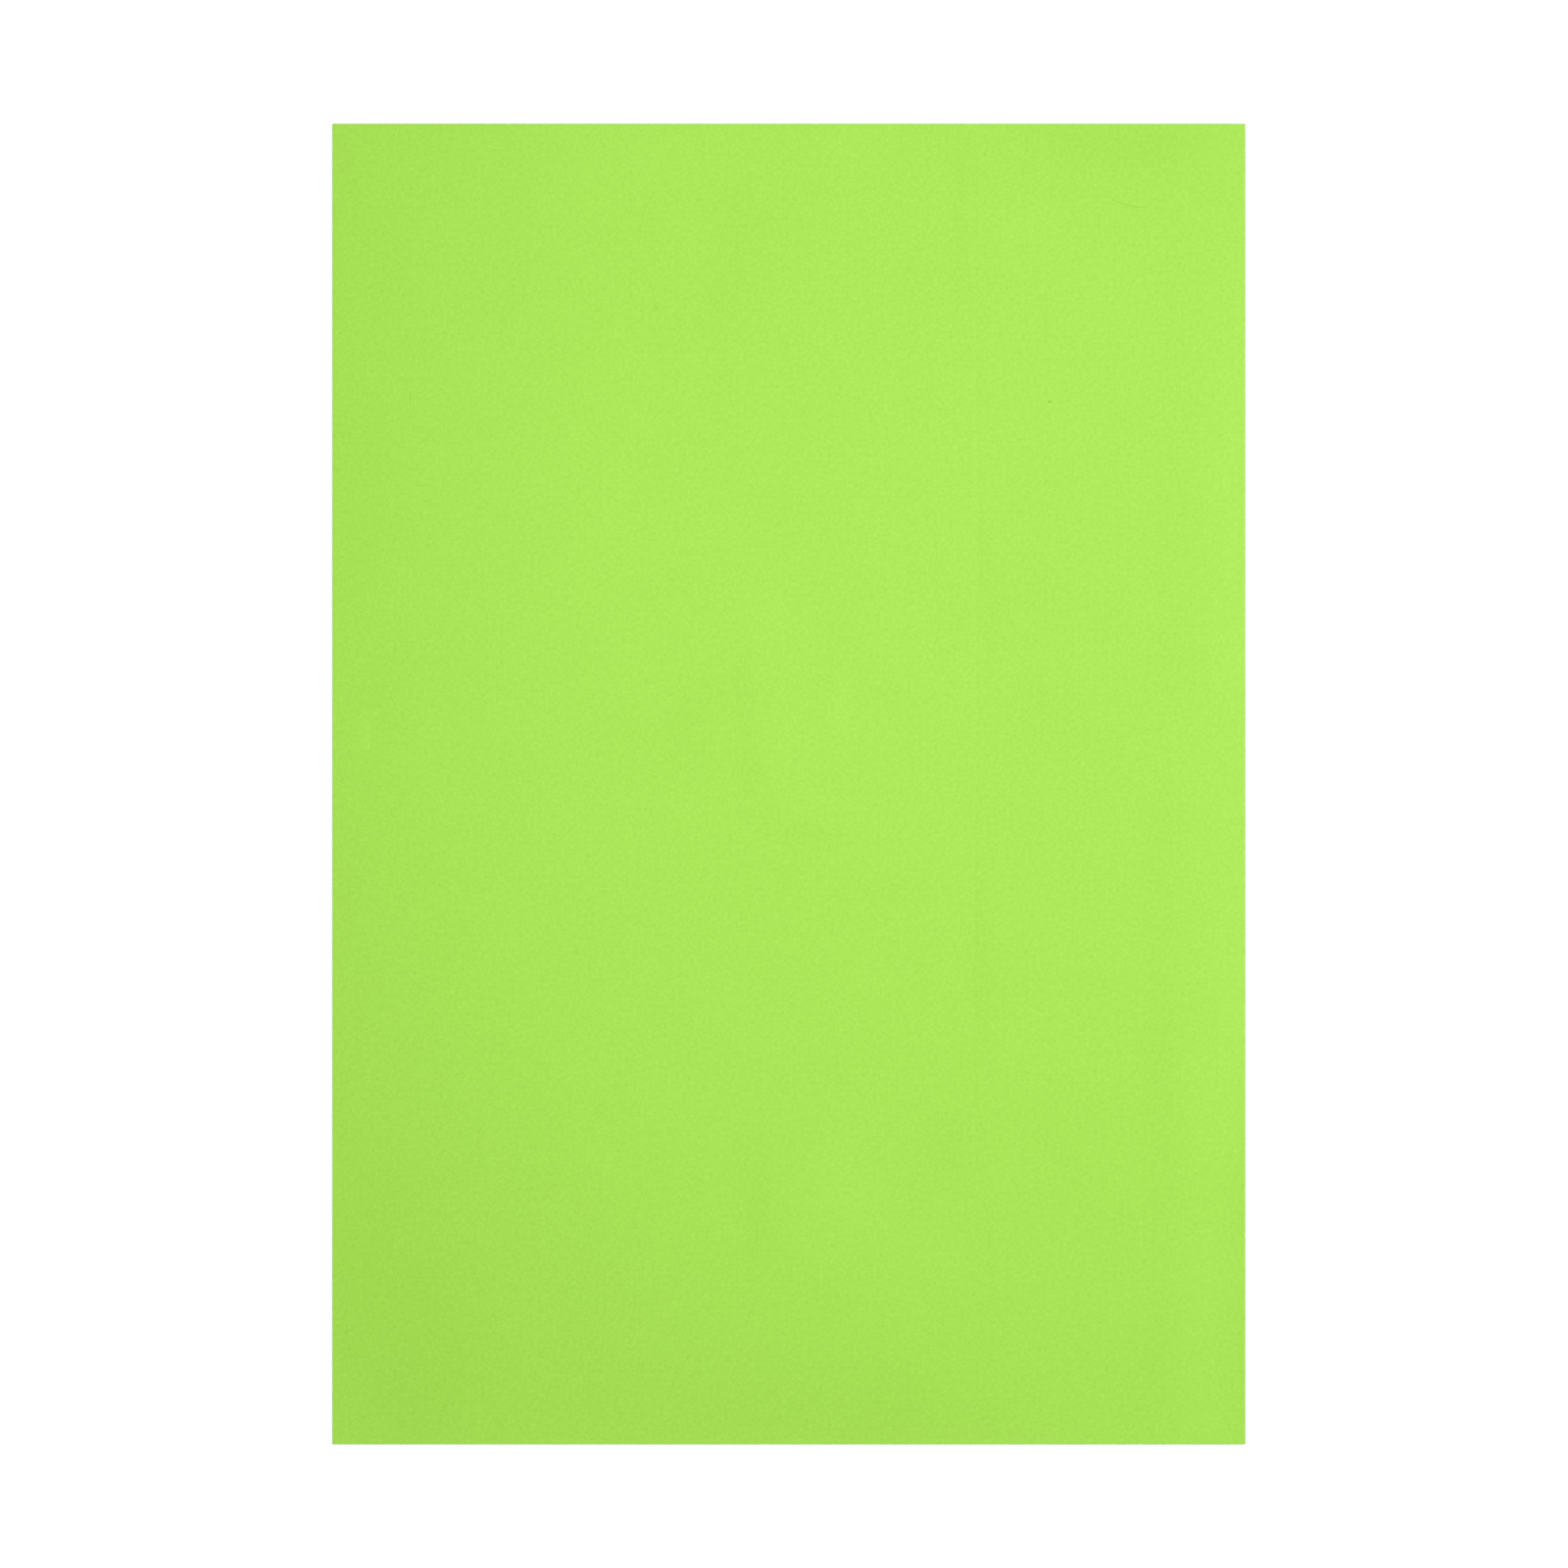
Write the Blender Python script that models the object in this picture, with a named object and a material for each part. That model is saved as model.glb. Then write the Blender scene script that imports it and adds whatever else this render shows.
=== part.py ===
"""Craft foam sheet: one flat piece of fine closed-cell EVA foam, cut square with a knife.

Metres, +Z up. The sheet lies on its back face. The origin is the middle of that face,
+X runs across the sheet's width, +Y along its length, and +Z out of its front face.
"""

import bmesh
import bpy

# The cut sheet
SHEET_WIDTH = 0.2000
SHEET_LENGTH = 0.2893
SHEET_THICKNESS = 0.0020

# The knife's edges: the blade draws the front rim down and leaves the back rim crisper
CORNER_RADIUS = 0.00020
FRONT_RIM_RADIUS = 0.00015
BACK_RIM_RADIUS = 0.00008
ROUND_SEGMENTS = 3

# The foam, dyed right through
FOAM_COLOUR = (0.407, 0.783, 0.100, 1.0)
FOAM_ROUGHNESS = 0.85
FOAM_METALLIC = 0.0

COLLECTION_NAME = "craft_foam_sheet"
SHEET_NAME = "foam_sheet"


def clear_scene():
    """Remove what the startup file holds."""
    for obj in list(bpy.data.objects):
        bpy.data.objects.remove(obj, do_unlink=True)


def foam_material():
    """Matt lime-green foam, the same colour on its skin and in its cut edge."""
    material = bpy.data.materials.new("lime_foam")
    material.diffuse_color = FOAM_COLOUR
    material.use_nodes = True
    shader = material.node_tree.nodes["Principled BSDF"]
    shader.inputs["Base Color"].default_value = FOAM_COLOUR
    shader.inputs["Roughness"].default_value = FOAM_ROUGHNESS
    shader.inputs["Metallic"].default_value = FOAM_METALLIC
    return material


def round_edges(shape, edges, radius):
    """Round these edges of the shape to one radius."""
    bmesh.ops.bevel(
        shape,
        geom=edges,
        offset=radius,
        offset_type="OFFSET",
        segments=ROUND_SEGMENTS,
        profile=0.5,
        affect="EDGES",
        clamp_overlap=True,
    )


def face_towards(shape, direction):
    """The flat face whose normal points most nearly up (1) or down (-1)."""
    return max(shape.faces, key=lambda face: direction * face.normal.z)


def sheet_mesh():
    """The slab at its cut size, with its four upright corners and then its two rims rounded."""
    shape = bmesh.new()
    bmesh.ops.create_cube(shape, size=1.0)
    bmesh.ops.scale(shape, verts=shape.verts, vec=(SHEET_WIDTH, SHEET_LENGTH, SHEET_THICKNESS))
    bmesh.ops.translate(shape, verts=shape.verts, vec=(0.0, 0.0, SHEET_THICKNESS / 2))

    shape.normal_update()
    rims = {*face_towards(shape, 1).edges, *face_towards(shape, -1).edges}
    upright_edges = [edge for edge in shape.edges if edge not in rims]
    round_edges(shape, upright_edges, CORNER_RADIUS)

    for direction, radius in ((1, FRONT_RIM_RADIUS), (-1, BACK_RIM_RADIUS)):
        shape.normal_update()
        round_edges(shape, list(face_towards(shape, direction).edges), radius)

    mesh = bpy.data.meshes.new(SHEET_NAME)
    shape.to_mesh(mesh)
    shape.free()
    return mesh


def foam_sheet(collection):
    """The sheet as one object, smooth round its edges and flat on its two faces."""
    mesh = sheet_mesh()
    mesh.materials.append(foam_material())
    mesh.shade_smooth()
    sheet = bpy.data.objects.new(SHEET_NAME, mesh)
    collection.objects.link(sheet)

    flat_faces = sheet.modifiers.new("flat_faces", "WEIGHTED_NORMAL")
    flat_faces.keep_sharp = True
    return sheet


def main():
    clear_scene()
    collection = bpy.data.collections.new(COLLECTION_NAME)
    bpy.context.scene.collection.children.link(collection)
    foam_sheet(collection)


main()
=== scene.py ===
"""Looks of a lime-green craft foam sheet that lies flat and is seen from straight above. Metres, +Z up."""

import math

import bpy
import numpy as np
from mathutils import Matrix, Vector


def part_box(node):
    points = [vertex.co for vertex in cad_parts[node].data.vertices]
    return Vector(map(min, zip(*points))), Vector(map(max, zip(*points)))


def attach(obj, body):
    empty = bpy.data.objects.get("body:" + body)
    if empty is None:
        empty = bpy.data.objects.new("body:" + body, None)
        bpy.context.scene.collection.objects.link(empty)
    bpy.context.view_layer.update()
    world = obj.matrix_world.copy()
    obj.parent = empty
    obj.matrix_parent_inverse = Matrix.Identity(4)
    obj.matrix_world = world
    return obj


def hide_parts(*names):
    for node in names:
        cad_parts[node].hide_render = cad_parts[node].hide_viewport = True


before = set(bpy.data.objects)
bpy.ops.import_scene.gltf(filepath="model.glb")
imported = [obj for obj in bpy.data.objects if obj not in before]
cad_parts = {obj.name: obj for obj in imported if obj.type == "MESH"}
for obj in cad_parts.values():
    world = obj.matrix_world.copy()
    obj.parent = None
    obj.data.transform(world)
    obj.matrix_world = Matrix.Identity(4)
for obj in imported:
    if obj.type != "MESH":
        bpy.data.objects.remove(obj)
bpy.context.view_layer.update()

# The foam sheet
# One sheet of fine closed-cell EVA foam, dyed lime green right through. It was skived off a
# thick block, which left long faint streaks along it, and cut square with a knife. It lies
# loose and flat on its back face.
MM = 0.001
low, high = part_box("foam_sheet")
HALF_WIDTH = (high.x - low.x) / 2
HALF_LENGTH = (high.y - low.y) / 2
THICKNESS = high.z - low.z

# The cut edge, all round: its corners and rims, and how far the squeezed wall springs back hollow
CORNER_RADIUS = 0.20 * MM
FRONT_RIM_RADIUS = 0.15 * MM
BACK_RIM_RADIUS = 0.08 * MM
WALL_HOLLOW = 0.04 * MM
CORNER_STEPS = 4
FRONT_RIM_STEPS = 3
WALL_STEPS = 6
BACK_RIM_STEPS = 2

# The grid on the front: its usual spacing, the finer one near each mark, how far that reaches, and
# how many places its density is summed at
SPACING = 1.35 * MM
FINE_SPACING = 0.22 * MM
FINE_REACH = 0.9 * MM
DENSITY_PLACES = 6001

# Dents and pricks in the front: x, y, radius and depth in millimetres, and the tone at the bottom, which
# is painted shade in the hollow, with some dirt
PITS = np.array([
    (-29.3, 104.4, 1.25, 0.050, -0.26),
    (57.1, 83.7, 0.40, 0.100, -1.45),
    (-46.6, -36.9, 0.75, 0.050, -0.38),
    (-44.0, -15.9, 0.66, 0.040, -0.44),
    (-31.5, 126.6, 0.66, 0.040, -0.31),
    (-46.5, -142.3, 0.70, 0.060, -0.20),
    (-87.7, -135.2, 0.45, 0.030, -0.25),
]) * (MM, MM, MM, MM, 1.0)

# Skiving streaks in the front: x, half width and depth in millimetres, and the y that each runs between
STREAKS = MM * np.array([
    (41.0, 0.42, 0.034, -120.0, 160.0),
    (63.9, 0.28, 0.022, -30.0, 160.0),
    (79.8, 0.24, 0.024, -125.0, -65.0),
    (81.8, 0.22, 0.024, -165.0, -100.0),
    (95.6, 0.35, 0.012, -160.0, 70.0),
])

# How far each streak wanders to its side, slowly and quickly, over what length, and the length
# that it takes to die out at an end
SLOW_WANDER = 0.35 * MM
SLOW_WANDER_LENGTH = 31 * MM
QUICK_WANDER = 0.12 * MM
QUICK_WANDER_LENGTH = 7 * MM
STREAK_FADE = 25 * MM

# Where the foam is painted a little paler (above 0) or deeper in colour (below 0): x, y, half width and
# half length in millimetres, and the tone. Along the right margin and the bottom edge they are painted
# light, along the left margin and at the top right corner painted shade, and round a low swelling near
# the middle painted light on its side towards the lamps and painted shade on its far side. The rest are
# paler and deeper patches.
TONE_AND_PAINTED_LIGHT_PATCHES = np.array([
    # Paler and deeper patches; the third, at the top right corner, is painted shade.
    (-42.0, 75.0, 26.0, 80.0, 0.065),
    (-30.0, 138.0, 24.0, 12.0, 0.055),
    (74.0, 137.0, 34.0, 15.0, -0.060),
    (60.0, 25.0, 22.0, 55.0, -0.055),
    (10.0, -142.0, 34.0, 16.0, -0.085),
    (-86.0, -112.0, 16.0, 32.0, -0.065),
    # Along the left margin: painted shade.
    (-96.0, 30.0, 10.0, 110.0, -0.040),
    # Along the bottom edge and at its corners: painted light.
    (0.0, -147.0, 150.0, 6.0, 0.060),
    (-97.0, -140.0, 10.0, 12.0, 0.065),
    (96.0, -143.0, 10.0, 10.0, 0.050),
    # Along the right margin: painted light, with painted shade just inside it.
    (91.5, -100.0, 6.5, 60.0, 0.100),
    (99.0, -52.0, 5.0, 24.0, 0.105),
    (98.5, 45.0, 7.0, 85.0, 0.065),
    (83.0, 55.0, 5.0, 55.0, -0.040),
    (82.0, -58.0, 4.0, 42.0, -0.040),
    # Along the top edge at the right: painted shade.
    (78.0, 141.0, 15.0, 5.5, -0.090),
    (57.0, 142.0, 10.0, 6.0, -0.045),
    # Paler and deeper patches.
    (14.0, 142.0, 10.0, 7.0, 0.060),
    (52.0, 124.0, 11.0, 8.0, 0.050),
    (-22.0, 122.0, 5.0, 8.0, 0.030),
    (-14.0, 104.0, 3.5, 24.0, -0.030),
    (37.5, 121.0, 2.0, 17.0, -0.065),
    (42.6, 52.0, 1.8, 8.0, -0.055),
    (44.6, 36.0, 2.2, 9.0, -0.060),
    (42.0, -38.0, 2.2, 24.0, -0.050),
    # Round a low swelling near the middle: painted light on its side towards the lamps, painted shade on
    # its far side.
    (11.5, 17.0, 2.1, 7.5, 0.095),
    (-6.5, 37.0, 6.5, 5.5, 0.055),
    (2.0, 27.0, 6.5, 9.0, 0.050),
    (1.5, 11.0, 7.0, 9.0, 0.055),
    (4.5, -3.0, 5.0, 4.5, 0.060),
    (-10.0, 18.0, 2.0, 11.0, -0.060),
    (-8.5, 4.0, 2.2, 6.0, -0.060),
    (3.0, -11.0, 7.5, 3.2, -0.055),
    (-23.0, 14.0, 6.0, 12.0, -0.050),
    # A pale fleck, and paler and deeper patches.
    (-92.6, 10.8, 1.0, 3.6, 0.170),
    (-7.3, -94.0, 3.2, 11.0, -0.070),
    (13.0, -92.0, 9.5, 13.0, 0.070),
    (34.0, -79.0, 6.0, 8.0, -0.075),
    (34.0, -101.0, 6.0, 7.0, 0.045),
    (23.0, -138.0, 8.0, 7.0, -0.055),
    (-82.0, -132.0, 9.0, 9.0, -0.045),
])

# Fine scratches in the front, each an arc: its centre's x and y and its radius, its middle's x and y,
# half its length and half its width, all in millimetres, and its strength. The last is a drag mark
SCRATCHES = (
    (78.2, 142.5, 16.2, 74.3, 126.8, 6.4, 0.16, 0.80),
    (-402.4, 93.2, 320.0, -82.4, 93.2, 2.6, 0.14, 0.30),
    (217.0, 84.2, 300.0, -83.0, 84.2, 2.2, 0.14, 0.75),
    (387.2, -56.3, 346.3, 43.0, -94.0, 38.0, 0.60, 0.12),
)

# Long swells in the front and the back, left by the skiving knife
SWELL_SEED = 7
SWELLS = 7
SWELL_HEIGHT = 0.010 * MM
SHORTEST_SWELL = 24 * MM
LONGEST_SWELL = 95 * MM

# The front's right and left margins, pressed down a little towards the cut
RIGHT_MARGIN = 9 * MM
RIGHT_MARGIN_DROP = 0.10 * MM
LEFT_MARGIN = 12 * MM
LEFT_MARGIN_DROP = 0.05 * MM

# The skin laid out flat on a unit square, each place as left, bottom, width and height: the front
# is the largest, and each side of the cut wall is cut into a few upright strips. The margin and the
# end are the shares of a strip's width and height that stay empty on each of its sides
FRONT_PLACE = (0.005, 0.004, 0.690, 0.992)
BACK_PLACE = (0.705, 0.574, 0.290, 0.422)
STRIPS_PLACE = (0.705, 0.004, 0.290, 0.560)
STRIPS_PER_SIDE = 3
STRIP_MARGIN = 0.1
STRIP_END = 0.03

# The foam's two colours, its usual place between them, and its sheen, which is duller in the cut
DEEP_LIME = (0.293, 0.629, 0.038, 1.0)
PALE_LIME = (0.416, 0.808, 0.089, 1.0)
USUAL_PALENESS = 0.5
FACE_ROUGHNESS = 0.66
CUT_ROUGHNESS = 0.78
SPECULAR = 0.40

# An opened cell: how far from its middle its floor ends and its rim begins, as shares of a cell, and
# the lowest of the cells' own tones and the range above it
CELL_FLOOR = 0.05
CELL_RIM = 0.65
CELL_LOWEST_TONE = -1.6
CELL_TONE_RANGE = 2.0

# The strength of each finer octave in every noise, as a share of the one before
OCTAVE_SHARE = 0.6

# The two faces: how fine each layer is, per metre, where the grain goes from crisp at the left to
# softer at the right, where the faint streaks grow to their full strength and what they have left of
# it on the left half, and the share of its half length where a scratch begins to fade
FACE_CELLS_PER_METRE = 4200.0
FINE_MOTTLE_PER_METRE = 1200.0
MOTTLE_PER_METRE = 420.0
CLOUD_PER_METRE = 60.0
FAINT_STREAKS_PER_METRE = (620.0, 9.0, 1.0)
CRISP_X = -80 * MM
SOFT_X = 90 * MM
CRISP = 1.10
SOFT = 0.88
FULL_STREAKS_X = 70 * MM
LEFT_HALF_STREAKS = 0.25
SCRATCH_TAPER = 0.5

# The shares of a face's layers in its paleness and its roughness, and their heights in millimetres
GRAIN_SHARE = 0.100
FINE_MOTTLE_SHARE = 0.245
MOTTLE_SHARE = 0.080
CLOUD_SHARE = 0.050
FAINT_STREAK_SHARE = 0.025
SCRATCH_SHARE = -0.35
MOTTLE_ROUGHNESS = 0.04
FACE_CELL_HEIGHT = 0.0110
SCRATCH_HEIGHT = -0.060

# The cut wall: how fine each layer is, per metre, its share in the paleness and the roughness, and
# its height in millimetres
CUT_CELLS_PER_METRE = 3300.0
BUBBLES_PER_METRE = 1000.0
DRAG_LINES_PER_METRE = (2600.0, 220.0, 1.0)
CHATTER_PER_METRE = 130.0
CUT_CELL_SHARE = 0.40
BUBBLE_SHARE = 0.14
DRAG_SHARE = 0.14
CHATTER_SHARE = 0.10
DRAG_ROUGHNESS = 0.05
CUT_CELL_HEIGHT = 0.055
BUBBLE_HEIGHT = 0.040
DRAG_HEIGHT = 0.035
CHATTER_HEIGHT = 0.020


def eased(t):
    """0 up to t = 0, 1 from t = 1, and 3t² - 2t³ between them."""
    t = np.clip(t, 0.0, 1.0)
    return t * t * (3.0 - 2.0 * t)


def crowded_lines(half_size, marks, multiple):
    """Grid lines from -half_size to half_size: equal steps of the running total of a density, which
    is one line per SPACING, rising in a bell to one per FINE_SPACING at each mark and at both ends.
    The number of steps is a multiple of the one asked for."""
    place = np.linspace(-half_size, half_size, DENSITY_PLACES)
    crowded = np.concatenate([marks, [-half_size, half_size]])
    bells = np.exp(-((place[:, None] - crowded[None, :]) / FINE_REACH) ** 2)
    density = 1 / SPACING + (1 / FINE_SPACING - 1 / SPACING) * np.minimum(bells.sum(axis=1), 1.0)
    steps = (density[1:] + density[:-1]) / 2 * np.diff(place)
    total = np.concatenate([[0.0], np.cumsum(steps)])
    count = multiple * math.ceil(total[-1] / multiple)
    return np.interp(np.linspace(0.0, total[-1], count + 1), total, place)


def swell(x, y, seed):
    """Sum of plane waves, each with its own length, direction and phase; a longer one is higher."""
    random = np.random.default_rng(seed)
    height = np.zeros_like(x)
    for length in np.geomspace(SHORTEST_SWELL, LONGEST_SWELL, SWELLS):
        turn, phase = random.uniform(0.0, 2 * math.pi, 2)
        along = x * math.cos(turn) + y * math.sin(turn)
        height += SWELL_HEIGHT * (length / LONGEST_SWELL) * np.sin(2 * math.pi * along / length + phase)
    return height


def streak_relief(x, y):
    """Each streak is a bell-shaped groove along y, which wanders to its side by two sines of y, and
    dies out at its two ends."""
    relief = np.zeros_like(x)
    for number, (at, half_width, depth, first, last) in enumerate(STREAKS):
        wander = SLOW_WANDER * np.sin(y / SLOW_WANDER_LENGTH + number)
        wander += QUICK_WANDER * np.sin(y / QUICK_WANDER_LENGTH + 2 * number)
        fade = eased((y - first) / STREAK_FADE) * eased((last - y) / STREAK_FADE)
        relief -= depth * fade * np.exp(-((x - at - wander) / half_width) ** 2)
    return relief


def pit_cups(x, y, strengths):
    """Sum of round cups: each pit's strength times (1 - r²)² inside its radius, and nothing outside it."""
    total = np.zeros_like(x)
    for (at_x, at_y, radius), strength in zip(PITS[:, :3], strengths):
        r_squared = ((x - at_x) ** 2 + (y - at_y) ** 2) / radius**2
        total += strength * np.clip(1.0 - r_squared, 0.0, 1.0) ** 2
    return total


def front_relief(x, y):
    """The front's height over its flat level: swells, margins, streaks and pits, with its top at 0."""
    right = np.clip((x - HALF_WIDTH) / RIGHT_MARGIN + 1.0, 0.0, 1.0)
    left = np.clip((-x - HALF_WIDTH) / LEFT_MARGIN + 1.0, 0.0, 1.0)
    margins = -RIGHT_MARGIN_DROP * right**2 - LEFT_MARGIN_DROP * left**2
    broad = swell(x, y, SWELL_SEED) + margins
    return broad - broad.max() + streak_relief(x, y) - pit_cups(x, y, PITS[:, 3])


def back_relief(x, y):
    """The back's height over its flat level: swells alone, with its lowest at 0."""
    broad = swell(x, y, SWELL_SEED + 1)
    return broad - broad.min()


def front_tone_and_painted_shading(x, y):
    """Sum of the pits' tones, painted shade in their hollows, and of soft ellipses: each patch's tone
    times exp(-(dx² + dy²)), where dx and dy are measured in its own half sizes. Some patches are painted
    light and shade."""
    tone = pit_cups(x, y, PITS[:, 4])
    for at_x, at_y, half_width, half_length, strength in TONE_AND_PAINTED_LIGHT_PATCHES:
        across = (x / MM - at_x) / half_width
        along = (y / MM - at_y) / half_length
        tone += strength * np.exp(-across**2 - along**2)
    return tone


def round_the_grid(columns, rows, corner_steps):
    """The grid's outermost points in order, anticlockwise from the lower left, as their numbers in the
    grid. Each corner's number is repeated once for each step of the corner's rounding."""
    numbers = np.arange((columns + 1) * (rows + 1)).reshape(rows + 1, columns + 1)
    sides = (numbers[0], numbers[:, -1], numbers[-1, ::-1], numbers[::-1, 0])
    parts = [np.concatenate([np.repeat(side[:1], corner_steps + 1), side[1:-1]]) for side in sides]
    return np.concatenate(parts)


def outline(xs, ys):
    """The sheet's outline and its outward normals, anticlockwise from the lower left corner: each
    corner is an arc of CORNER_RADIUS, and the sides between have a point for each grid line."""
    points, normals = [], []
    inner = np.array([HALF_WIDTH - CORNER_RADIUS, HALF_LENGTH - CORNER_RADIUS])
    signs = ((-1, -1), (1, -1), (1, 1), (-1, 1))
    for quarter, along in enumerate((xs, ys, xs[::-1], ys[::-1])):
        angles = math.pi + quarter * math.pi / 2 + np.linspace(0.0, math.pi / 2, CORNER_STEPS + 1)
        arc = np.stack([np.cos(angles), np.sin(angles)], axis=1)
        points.append(inner * signs[quarter] + CORNER_RADIUS * arc)
        side = np.empty((len(along) - 2, 2))
        side[:, quarter % 2] = along[1:-1]
        out = arc[-1].round()
        side[:, 1 - quarter % 2] = out[1 - quarter % 2] * (HALF_LENGTH if quarter % 2 == 0 else HALF_WIDTH)
        points.append(side)
        normals += [arc, np.broadcast_to(out, side.shape)]
    return np.concatenate(points), np.concatenate(normals)


def edge_profile():
    """The cut edge from the front rim down to the back rim, as pairs of inset and height: a quarter
    circle, a wall that is hollow by a half sine, and a smaller quarter circle."""
    turn = np.linspace(0.0, math.pi / 2, FRONT_RIM_STEPS + 1)[1:]
    height = THICKNESS - FRONT_RIM_RADIUS * (1 - np.cos(turn))
    front = np.stack([FRONT_RIM_RADIUS * (1 - np.sin(turn)), height], axis=1)
    down = np.linspace(0.0, 1.0, WALL_STEPS + 1)[1:-1]
    top, bottom = THICKNESS - FRONT_RIM_RADIUS, BACK_RIM_RADIUS
    wall = np.stack([WALL_HOLLOW * np.sin(math.pi * down), top + (bottom - top) * down], axis=1)
    turn = np.linspace(math.pi / 2, 0.0, BACK_RIM_STEPS + 1)
    back = np.stack([BACK_RIM_RADIUS * (1 - np.sin(turn)), BACK_RIM_RADIUS * (1 - np.cos(turn))], axis=1)
    return np.concatenate([front, wall, back[:-1]])


def edge_rings(points, normals, relief):
    """The cut edge's points, ring by ring from the front down: the outline's points, moved in by each
    inset of the edge profile. The upper half of the wall goes up and down with the front's relief."""
    rings = []
    for inset, height in edge_profile():
        near_front = eased(2 * height / THICKNESS - 1)
        ring = np.empty((len(points), 3))
        ring[:, :2] = points - normals * inset
        ring[:, 2] = height + relief * near_front
        rings.append(ring)
    return rings


def edge_triangles(round_front, numbers, round_back):
    """The cut edge's triangles: walls from the front's outermost points down through each ring's
    numbers, and a seam, where every second point of the last ring meets one of the back's."""
    upper = np.concatenate([round_front[None, :], numbers[:-1]])
    following = np.roll(np.arange(numbers.shape[1]), -1)
    walls = np.concatenate([
        np.stack([upper, numbers, numbers[:, following]], axis=-1),
        np.stack([upper, numbers[:, following], upper[:, following]], axis=-1),
    ]).reshape(-1, 3)
    last = numbers[-1]
    next_back = np.roll(round_back, -1)
    seam = np.concatenate([
        np.stack([last[::2], round_back, last[1::2]], axis=-1),
        np.stack([last[1::2], round_back, next_back], axis=-1),
        np.stack([last[1::2], next_back, np.roll(last, -1)[1::2]], axis=-1),
    ])
    return np.concatenate([walls, seam])


def squares(columns, rows, first):
    """The grid's squares as two triangles each, facing up. first is the number of its first point."""
    numbers = first + np.arange((columns + 1) * (rows + 1)).reshape(rows + 1, columns + 1)
    a, b, c, d = numbers[:-1, :-1], numbers[:-1, 1:], numbers[1:, 1:], numbers[1:, :-1]
    return np.concatenate([np.stack([a, b, c], axis=-1), np.stack([a, c, d], axis=-1)]).reshape(-1, 3)


def placed(place, across, up):
    """Points in one place of the unit square, from shares of its width and its height."""
    left, bottom, width, height = place
    return np.stack([left + width * across, bottom + height * up], axis=-1)


def skin_map(corners, is_cut):
    """Where the corners of each triangle lie when the skin is laid out flat. The front keeps its x and
    y, and the back is turned over. A wall triangle belongs to the nearest side and, by its middle, to
    one of that side's strips. It lies up the strip by its way clockwise along the side, and across it
    by its way round the edge, which is its height plus its inset above half the thickness, and its
    height less its inset below."""
    x, y, z = np.moveaxis(corners, -1, 0)
    along_x = x / (2 * HALF_WIDTH) + 0.5
    along_y = y / (2 * HALF_LENGTH) + 0.5
    is_front = z.mean(axis=1) > THICKNESS / 2
    front = placed(FRONT_PLACE, along_x, along_y)
    back = placed(BACK_PLACE, 1 - along_x, along_y)
    faces = np.where(is_front[:, None, None], front, back)

    inset_x = HALF_WIDTH - np.abs(x)
    inset_y = HALF_LENGTH - np.abs(y)
    runs_along_y = inset_x.mean(axis=1) < inset_y.mean(axis=1)
    is_positive = np.where(runs_along_y, x.mean(axis=1), y.mean(axis=1)) > 0
    way = np.where(runs_along_y[:, None], along_y, along_x)
    way = STRIPS_PER_SIDE * np.where((is_positive == runs_along_y)[:, None], 1 - way, way)
    inset = np.where(runs_along_y[:, None], inset_x, inset_y)
    strip_of_side = np.floor(way.mean(axis=1)).clip(0, STRIPS_PER_SIDE - 1)
    strip = (2 * runs_along_y + is_positive) * STRIPS_PER_SIDE + strip_of_side
    down = z + np.where(z > THICKNESS / 2, inset, -inset) + BACK_RIM_RADIUS
    down /= THICKNESS + FRONT_RIM_RADIUS + 2 * BACK_RIM_RADIUS
    across = strip[:, None] + STRIP_MARGIN + (1 - 2 * STRIP_MARGIN) * down
    up = STRIP_END + (1 - 2 * STRIP_END) * (way - strip_of_side[:, None])
    walls = placed(STRIPS_PLACE, across / (4 * STRIPS_PER_SIDE), up)
    return np.where(is_cut[:, None, None], walls, faces)


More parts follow.
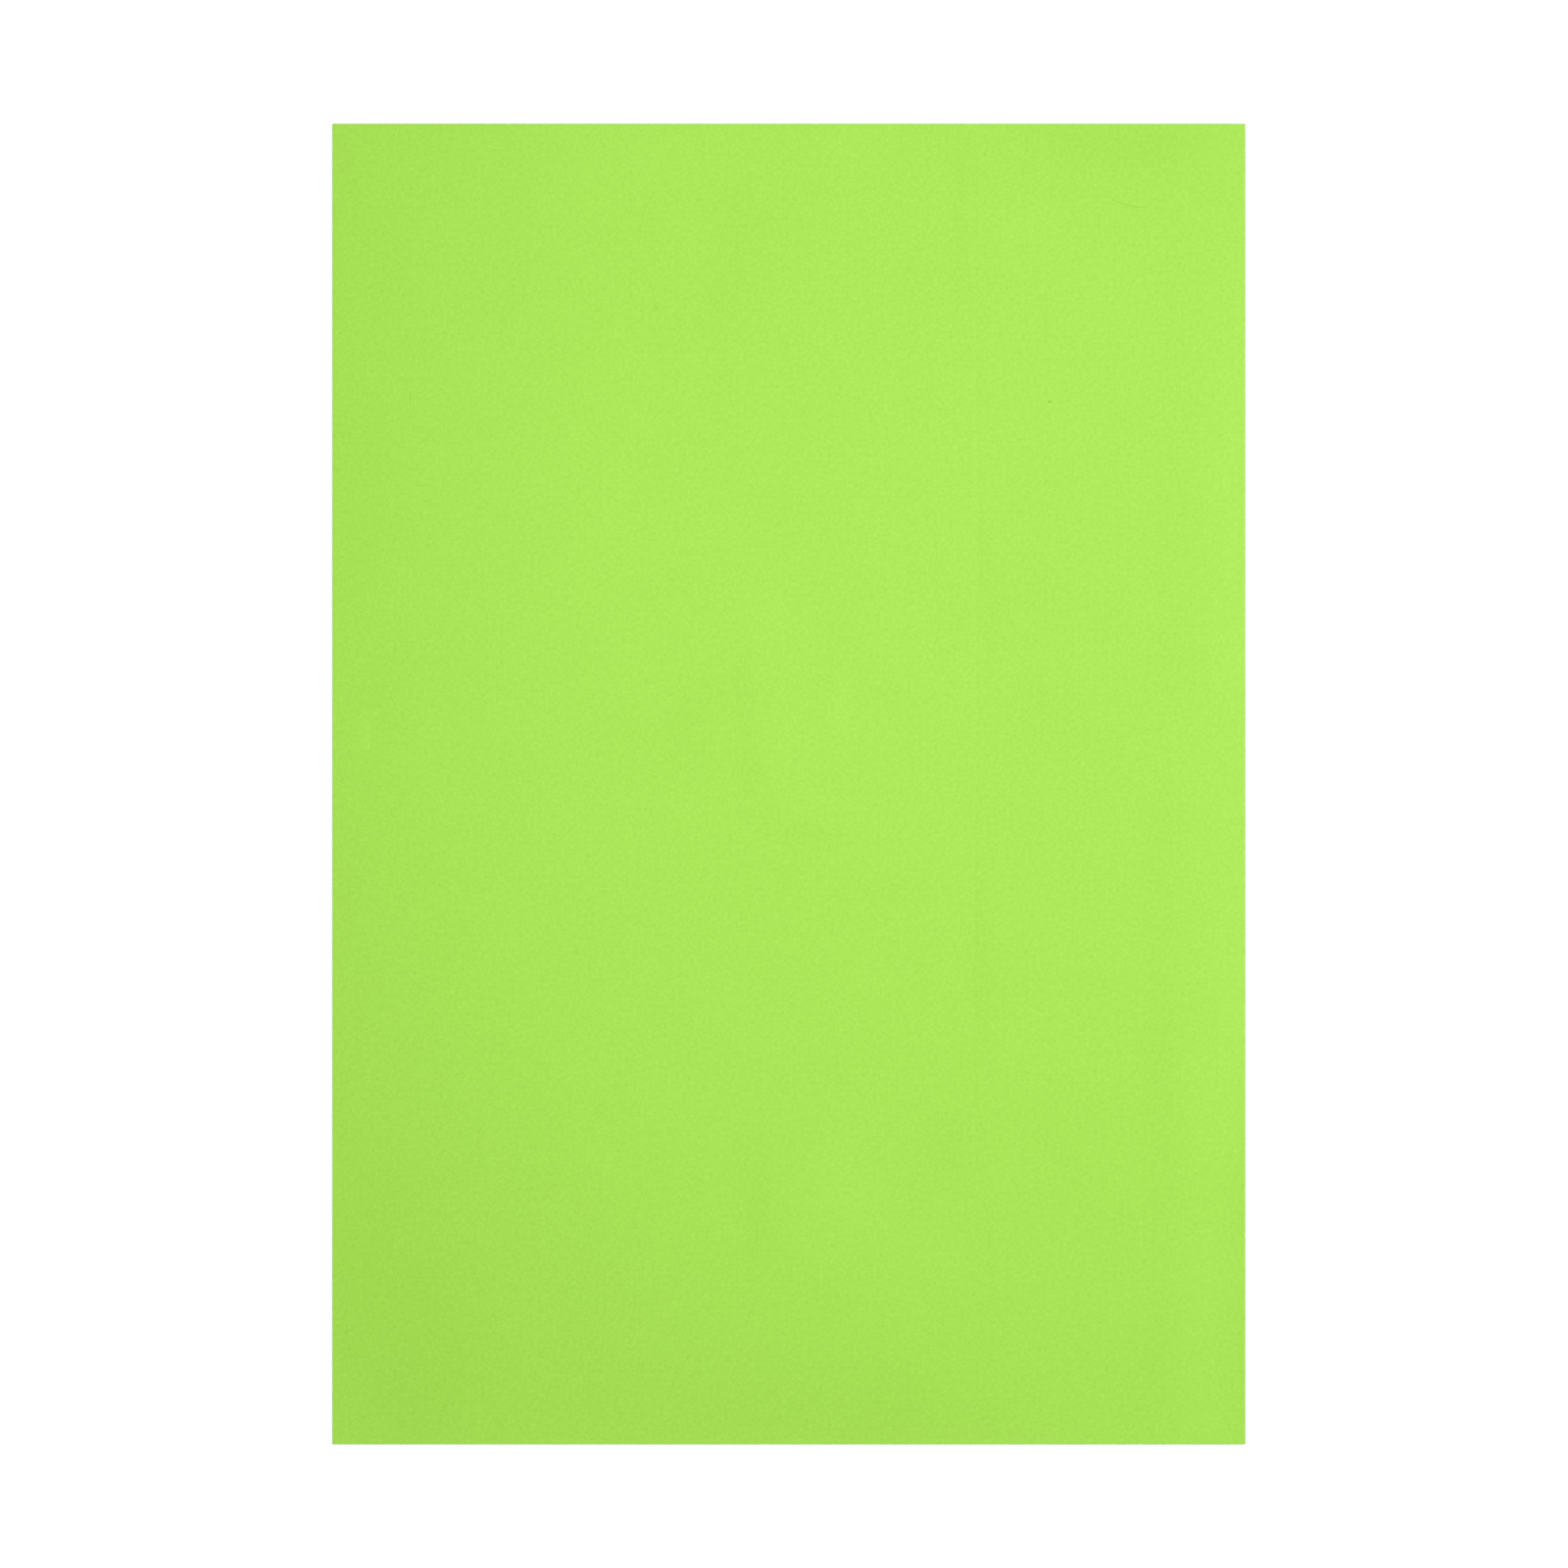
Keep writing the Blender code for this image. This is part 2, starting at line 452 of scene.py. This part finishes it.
def sheet_mesh():
    """The closed skin of the sheet: a grid on the front, the edge profile carried round the outline,
    and a grid on the back with every second line of the front's. Its second material is the cut's."""
    face_width, face_length = HALF_WIDTH - FRONT_RIM_RADIUS, HALF_LENGTH - FRONT_RIM_RADIUS
    narrow = TONE_AND_PAINTED_LIGHT_PATCHES[TONE_AND_PAINTED_LIGHT_PATCHES[:, 2] * MM < SPACING]
    xs = crowded_lines(face_width, np.concatenate([PITS[:, 0], STREAKS[:, 0], narrow[:, 0] * MM]), 2)
    ys = crowded_lines(face_length, PITS[:, 1], 2)
    columns, rows = len(xs) - 1, len(ys) - 1
    x, y = np.meshgrid(xs, ys)
    front = np.stack([x, y, THICKNESS + front_relief(x, y)], axis=-1).reshape(-1, 3)

    narrower = (HALF_WIDTH - BACK_RIM_RADIUS) / face_width
    shorter = (HALF_LENGTH - BACK_RIM_RADIUS) / face_length
    x, y = np.meshgrid(xs[::2] * narrower, ys[::2] * shorter)
    back = np.stack([x, y, back_relief(x, y)], axis=-1).reshape(-1, 3)

    round_front = round_the_grid(columns, rows, CORNER_STEPS)
    round_back = round_the_grid(columns // 2, rows // 2, CORNER_STEPS // 2)
    points, normals = outline(xs, ys)
    rings = edge_rings(points, normals, front[round_front, 2] - THICKNESS)
    vertices = np.concatenate([front, back, *rings])

    first_back = len(front)
    first_ring = first_back + len(back)
    numbers = first_ring + np.arange(len(rings) * len(points)).reshape(len(rings), len(points))
    front_squares = squares(columns, rows, 0)
    back_squares = squares(columns // 2, rows // 2, first_back)[:, ::-1]
    faces = np.concatenate([front_squares, back_squares])
    triangles = np.concatenate([faces, edge_triangles(round_front, numbers, first_back + round_back)])
    is_cut = np.arange(len(triangles)) >= len(faces)
    a, b, c = triangles.T
    whole = (a != b) & (b != c) & (c != a)
    triangles, is_cut = triangles[whole], is_cut[whole]

    mesh = bpy.data.meshes.new("craft_foam_sheet")
    mesh.from_pydata(vertices.tolist(), [], triangles.tolist())
    mesh.shade_smooth()
    mesh.polygons.foreach_set("material_index", is_cut.astype(np.int32))
    flat = skin_map(vertices[triangles], is_cut)
    mesh.uv_layers.new(name="OFBake").uv.foreach_set("vector", flat.astype(np.float32).ravel())

    tone = np.zeros(len(vertices), np.float32)
    # The front's tone: the foam's patches, with painted light and shade on its margins, round a swelling
    # and in its pits.
    tone[:first_back] = front_tone_and_painted_shading(front[:, 0], front[:, 1])
    mesh.attributes.new("tone", "FLOAT", "POINT").data.foreach_set("value", tone)
    return mesh


foam_sheet = bpy.data.objects.new("craft_foam_sheet", sheet_mesh())
bpy.context.scene.collection.objects.link(foam_sheet)


def put(tree, kind, inputs=(), **settings):
    """A new shader node with these settings. Each input named is given a value or a node's output."""
    made = tree.nodes.new("ShaderNode" + kind)
    for name, value in settings.items():
        setattr(made, name, value)
    for socket, value in dict(inputs).items():
        if isinstance(value, bpy.types.NodeSocket):
            tree.links.new(value, made.inputs[socket])
        else:
            made.inputs[socket].default_value = value
    return made


def maths(tree, operation, *values):
    """The output of one Math node."""
    return put(tree, "Math", enumerate(values), operation=operation).outputs[0]


def ranged(tree, value, from_low, from_high, to_low=0.0, to_high=1.0):
    """The value, moved in a straight line from one range to another and held at its ends."""
    limits = {"From Min": from_low, "From Max": from_high, "To Min": to_low, "To Max": to_high}
    return put(tree, "MapRange", {"Value": value, **limits}).outputs["Result"]


def noise(tree, vector, scale, detail):
    """Flat noise of this scale, from -1 to 1, with this many finer octaves."""
    sockets = {"Vector": vector, "Scale": scale, "Detail": detail, "Roughness": OCTAVE_SHARE}
    made = put(tree, "TexNoise", sockets, noise_dimensions="2D")
    return maths(tree, "MULTIPLY_ADD", made.outputs["Fac"], 2.0, -1.0)


def new_group(name, inputs, outputs):
    """An empty shader node group with these sockets, and its two end nodes."""
    group = bpy.data.node_groups.new(name, "ShaderNodeTree")
    for label, kind in inputs.items():
        group.interface.new_socket(label, in_out="INPUT", socket_type="NodeSocket" + kind)
    for label, kind in outputs.items():
        group.interface.new_socket(label, in_out="OUTPUT", socket_type="NodeSocket" + kind)
    return group, group.nodes.new("NodeGroupInput"), group.nodes.new("NodeGroupOutput")


def opened_cells():
    """Closed cells that a blade has opened, on a flat place in metres. Each is a cup: its height is the
    distance from the nearest of many scattered points, from 0 on its floor to 1 on its rim. Paleness
    lies around 0: each cell has its own, and its floor is painted darker than its rim, as shade in the
    cup."""
    group, given, made = new_group(
        "opened_cells",
        {"Vector": "Vector", "Cells per Metre": "Float"},
        {"Height": "Float", "Paleness": "Float"},
    )
    sockets = {"Vector": given.outputs["Vector"], "Scale": given.outputs["Cells per Metre"]}
    cells = put(group, "TexVoronoi", sockets, voronoi_dimensions="2D")
    height = ranged(group, cells.outputs["Distance"], CELL_FLOOR, CELL_RIM)
    each = put(group, "SeparateColor", {"Color": cells.outputs["Color"]}).outputs["Red"]
    tone = maths(group, "MULTIPLY_ADD", each, CELL_TONE_RANGE, CELL_LOWEST_TONE)
    # Adding the height paints shade on each cup's floor.
    paleness = maths(group, "ADD", tone, height)
    group.links.new(height, made.inputs["Height"])
    group.links.new(paleness, made.inputs["Paleness"])
    return group


def scratch():
    """A fine scratch: 1 on an arc, fading to 0 at half a width from it and towards its two ends."""
    group, given, made = new_group(
        "scratch",
        {
            "Vector": "Vector", "Centre": "Vector", "Radius": "Float",
            "Middle": "Vector", "Half Length": "Float", "Half Width": "Float",
        },
        {"Depth": "Float"},
    )
    place, centre, radius, middle, half_length, half_width = given.outputs[:6]
    from_centre = put(group, "VectorMath", {0: place, 1: centre}, operation="DISTANCE").outputs["Value"]
    off = maths(group, "ABSOLUTE", maths(group, "SUBTRACT", from_centre, radius))
    from_middle = put(group, "VectorMath", {0: place, 1: middle}, operation="DISTANCE").outputs["Value"]
    line = ranged(group, maths(group, "DIVIDE", off, half_width), 0.0, 1.0, 1.0, 0.0)
    ends = ranged(group, maths(group, "DIVIDE", from_middle, half_length), SCRATCH_TAPER, 1.0, 1.0, 0.0)
    group.links.new(maths(group, "MULTIPLY", line, ends), made.inputs["Depth"])
    return group


def finish_foam(tree, paleness, roughness, height):
    """Feeds a foam's shader: its colour runs from the deeper lime at 0 to the paler one at 1 and past
    both, and its height is in millimetres. A Mix node has its factor at socket 0, and its two colours
    and their mix at sockets 6, 7 and 2, behind those for numbers and vectors."""
    shader = tree.nodes["Principled BSDF"]
    sockets = {0: paleness, 6: DEEP_LIME, 7: PALE_LIME}
    colour = put(tree, "Mix", sockets, data_type="RGBA", clamp_factor=False)
    tree.links.new(colour.outputs[2], shader.inputs["Base Color"])
    tree.links.new(roughness, shader.inputs["Roughness"])
    bump = put(tree, "Bump", {"Height": height, "Strength": 1.0, "Distance": MM})
    tree.links.new(bump.outputs["Normal"], shader.inputs["Normal"])
    shader.inputs["Specular IOR Level"].default_value = SPECULAR


def skived_foam(cells_group):
    """The two faces: fine cells and fine noise make the grain, noise at two larger sizes the mottling,
    stretched noise the streaks on the right half, the mesh's tone the paler and deeper patches, with
    painted light and shade on the margins, round a swelling and in the pits, and a few scratches lie over
    them."""
    material = bpy.data.materials.new("skived_lime_foam")
    material.use_nodes = True
    tree = material.node_tree
    place = put(tree, "TexCoord").outputs["Object"]
    tone = put(tree, "Attribute", attribute_name="tone").outputs["Fac"]
    across = put(tree, "SeparateXYZ", {"Vector": place}).outputs["X"]
    cells = put(tree, "Group", node_tree=cells_group)
    tree.links.new(place, cells.inputs["Vector"])
    cells.inputs["Cells per Metre"].default_value = FACE_CELLS_PER_METRE
    crispness = ranged(tree, across, CRISP_X, SOFT_X, CRISP, SOFT)
    # The cells' paleness has painted shade on each cup's floor.
    grain = maths(tree, "MULTIPLY", cells.outputs["Paleness"], crispness)

    fine_mottle = noise(tree, place, FINE_MOTTLE_PER_METRE, detail=1.0)
    mottle = noise(tree, place, MOTTLE_PER_METRE, detail=2.0)
    cloud = noise(tree, place, CLOUD_PER_METRE, detail=2.0)
    stretch = put(tree, "Mapping", {"Vector": place, "Scale": FAINT_STREAKS_PER_METRE}).outputs["Vector"]
    right_half = ranged(tree, across, 0.0, FULL_STREAKS_X, LEFT_HALF_STREAKS, 1.0)
    streak = maths(tree, "MULTIPLY", noise(tree, stretch, 1.0, detail=2.0), right_half)

    scratch_group = scratch()
    scratched = None
    for at_x, at_y, radius, middle_x, middle_y, half_length, half_width, strength in SCRATCHES:
        line = put(tree, "Group", node_tree=scratch_group)
        tree.links.new(place, line.inputs["Vector"])
        line.inputs["Centre"].default_value = (at_x * MM, at_y * MM, THICKNESS)
        line.inputs["Radius"].default_value = radius * MM
        line.inputs["Middle"].default_value = (middle_x * MM, middle_y * MM, THICKNESS)
        line.inputs["Half Length"].default_value = half_length * MM
        line.inputs["Half Width"].default_value = half_width * MM
        depth = maths(tree, "MULTIPLY", line.outputs["Depth"], strength)
        scratched = depth if scratched is None else maths(tree, "MAXIMUM", scratched, depth)

    # The mesh's tone brings painted light and shade on the margins, round a swelling and in the pits, as
    # well as the foam's patches.
    paleness = maths(tree, "ADD", tone, USUAL_PALENESS)
    shares = (
        (grain, GRAIN_SHARE), (fine_mottle, FINE_MOTTLE_SHARE), (mottle, MOTTLE_SHARE),
        (cloud, CLOUD_SHARE), (streak, FAINT_STREAK_SHARE), (scratched, SCRATCH_SHARE),
    )
    for value, share in shares:
        paleness = maths(tree, "MULTIPLY_ADD", value, share, paleness)
    roughness = maths(tree, "MULTIPLY_ADD", mottle, MOTTLE_ROUGHNESS, FACE_ROUGHNESS)
    height = maths(tree, "MULTIPLY", cells.outputs["Height"], FACE_CELL_HEIGHT)
    height = maths(tree, "MULTIPLY_ADD", scratched, SCRATCH_HEIGHT, height)
    finish_foam(tree, paleness, roughness, height)
    return material


def cut_foam(cells_group):
    """The cut wall: coarser cells, torn open, with bubbles among them, and the upright lines that the
    knife's edge dragged. It is unrolled to x + y along it and z up it."""
    material = bpy.data.materials.new("cut_lime_foam")
    material.use_nodes = True
    tree = material.node_tree
    place = put(tree, "TexCoord").outputs["Object"]
    x, y, z = put(tree, "SeparateXYZ", {"Vector": place}).outputs
    wall = put(tree, "CombineXYZ", {"X": maths(tree, "ADD", x, y), "Y": z}).outputs["Vector"]
    layers = []
    for per_metre in (CUT_CELLS_PER_METRE, BUBBLES_PER_METRE):
        layer = put(tree, "Group", node_tree=cells_group)
        tree.links.new(wall, layer.inputs["Vector"])
        layer.inputs["Cells per Metre"].default_value = per_metre
        layers.append(layer.outputs)
    cells, bubbles = layers

    stretch = put(tree, "Mapping", {"Vector": wall, "Scale": DRAG_LINES_PER_METRE}).outputs["Vector"]
    drag = noise(tree, stretch, 1.0, detail=1.0)
    chatter = noise(tree, wall, CHATTER_PER_METRE, detail=1.0)

    # The cells' and bubbles' paleness has painted shade on each cup's floor.
    paleness = maths(tree, "MULTIPLY_ADD", cells["Paleness"], CUT_CELL_SHARE, USUAL_PALENESS)
    shares = ((bubbles["Paleness"], BUBBLE_SHARE), (drag, DRAG_SHARE), (chatter, CHATTER_SHARE))
    for value, share in shares:
        paleness = maths(tree, "MULTIPLY_ADD", value, share, paleness)
    roughness = maths(tree, "MULTIPLY_ADD", drag, DRAG_ROUGHNESS, CUT_ROUGHNESS)
    height = maths(tree, "MULTIPLY", cells["Height"], CUT_CELL_HEIGHT)
    heights = ((bubbles["Height"], BUBBLE_HEIGHT), (drag, DRAG_HEIGHT), (chatter, CHATTER_HEIGHT))
    for value, most in heights:
        height = maths(tree, "MULTIPLY_ADD", value, most, height)
    finish_foam(tree, paleness, roughness, height)
    return material


cell_pattern = opened_cells()
foam_sheet.data.materials.append(skived_foam(cell_pattern))
foam_sheet.data.materials.append(cut_foam(cell_pattern))
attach(foam_sheet, "root")
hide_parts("foam_sheet")

# The table
# A white laminate table under the sheet, overexposed: the camera sees most of it burnt out to an
# even pure white, while it lights the sheet as plain white laminate. It is not part of the object.
TABLE_SIZE = 12.0
TABLE_GAP = 0.1 * MM
LAMINATE_WHITE = 0.95
LAMINATE_ROUGHNESS = 0.7
BURNT_OUT = 0.85
BURNT_OUT_WHITE = 1.04
corners = TABLE_SIZE / 2 * np.array([(-1, -1), (1, -1), (1, 1), (-1, 1)])
table_mesh = bpy.data.meshes.new("table_top")
table_mesh.from_pydata([(x, y, -TABLE_GAP) for x, y in corners], [], [(0, 1, 2, 3)])
table_top = bpy.data.objects.new("table_top", table_mesh)
bpy.context.scene.collection.objects.link(table_top)
laminate = bpy.data.materials.new("white_laminate")
laminate.use_nodes = True
laminate_tree = laminate.node_tree
laminate_shader = laminate_tree.nodes["Principled BSDF"]
seen = put(laminate_tree, "LightPath").outputs["Is Camera Ray"]
white = ranged(laminate_tree, seen, 0.0, 1.0, LAMINATE_WHITE, LAMINATE_WHITE * (1 - BURNT_OUT))
glow = maths(laminate_tree, "MULTIPLY", seen, BURNT_OUT_WHITE * BURNT_OUT)
laminate_tree.links.new(white, laminate_shader.inputs["Base Color"])
laminate_tree.links.new(glow, laminate_shader.inputs["Emission Strength"])
laminate_shader.inputs["Emission Color"].default_value = (1.0, 1.0, 1.0, 1.0)
laminate_shader.inputs["Roughness"].default_value = LAMINATE_ROUGHNESS
laminate.cycles.emission_sampling = "NONE"
table_mesh.materials.append(laminate)

# The lights
# Soft white studio light: a lamp close over the sheet, one further off towards the upper right,
# which picks out the relief, and a dim room that is bright at its horizon. Each lamp's share is
# how much of the light that shows a white sheet as white it gives to the sheet's middle.
LAMPS = {
    "overhead": {"place": (0.02, 0.04, 0.60), "size": 0.30, "share": 0.453},
    "upper_right": {"place": (0.35, 0.15, 0.90), "size": 0.30, "share": 0.456},
}
HORIZON_UP = 0.05
ROOM_UP = 0.25
HORIZON_BRIGHTNESS = 1.0
ROOM_BRIGHTNESS = 0.21
for name, lamp in LAMPS.items():
    place = Vector(lamp["place"])
    data = bpy.data.lights.new(name, "AREA")
    data.shape = "DISK"
    data.size = lamp["size"]
    data.energy = lamp["share"] * math.pi**2 * place.length**3 / place.z
    light = bpy.data.objects.new(name, data)
    light.location = place
    light.rotation_euler = (-place).to_track_quat("-Z", "Y").to_euler()
    light.visible_camera = False
    bpy.context.scene.collection.objects.link(light)

room = bpy.data.worlds.new("room")
room.use_nodes = True
room_tree = room.node_tree
way = put(room_tree, "TexCoord").outputs["Generated"]
up = put(room_tree, "SeparateXYZ", {"Vector": way}).outputs["Z"]
brightness = ranged(room_tree, up, HORIZON_UP, ROOM_UP, HORIZON_BRIGHTNESS, ROOM_BRIGHTNESS)
background = room_tree.nodes["Background"]
room_tree.links.new(brightness, background.inputs["Strength"])
background.inputs["Color"].default_value = (1.0, 1.0, 1.0, 1.0)
bpy.context.scene.world = room
bpy.context.scene.view_settings.view_transform = "Standard"

# The camera
# It looks straight down, square to the sheet, and holds the whole sheet with room around it.
PICTURE_PX = 1600.0
SHEET_WIDTH_PX = 931.90
SHEET_CENTRE_PX = (804.97, 800.01)
LENS = 85.0
SENSOR_WIDTH = 36.0
px_size = 2 * HALF_WIDTH / SHEET_WIDTH_PX
lens = bpy.data.cameras.new("camera")
lens.lens = LENS
lens.sensor_width = SENSOR_WIDTH
camera = bpy.data.objects.new("camera", lens)
camera.location = (
    -(SHEET_CENTRE_PX[0] - PICTURE_PX / 2) * px_size,
    (SHEET_CENTRE_PX[1] - PICTURE_PX / 2) * px_size,
    THICKNESS + PICTURE_PX * px_size * LENS / SENSOR_WIDTH,
)
bpy.context.scene.collection.objects.link(camera)
bpy.context.scene.camera = camera
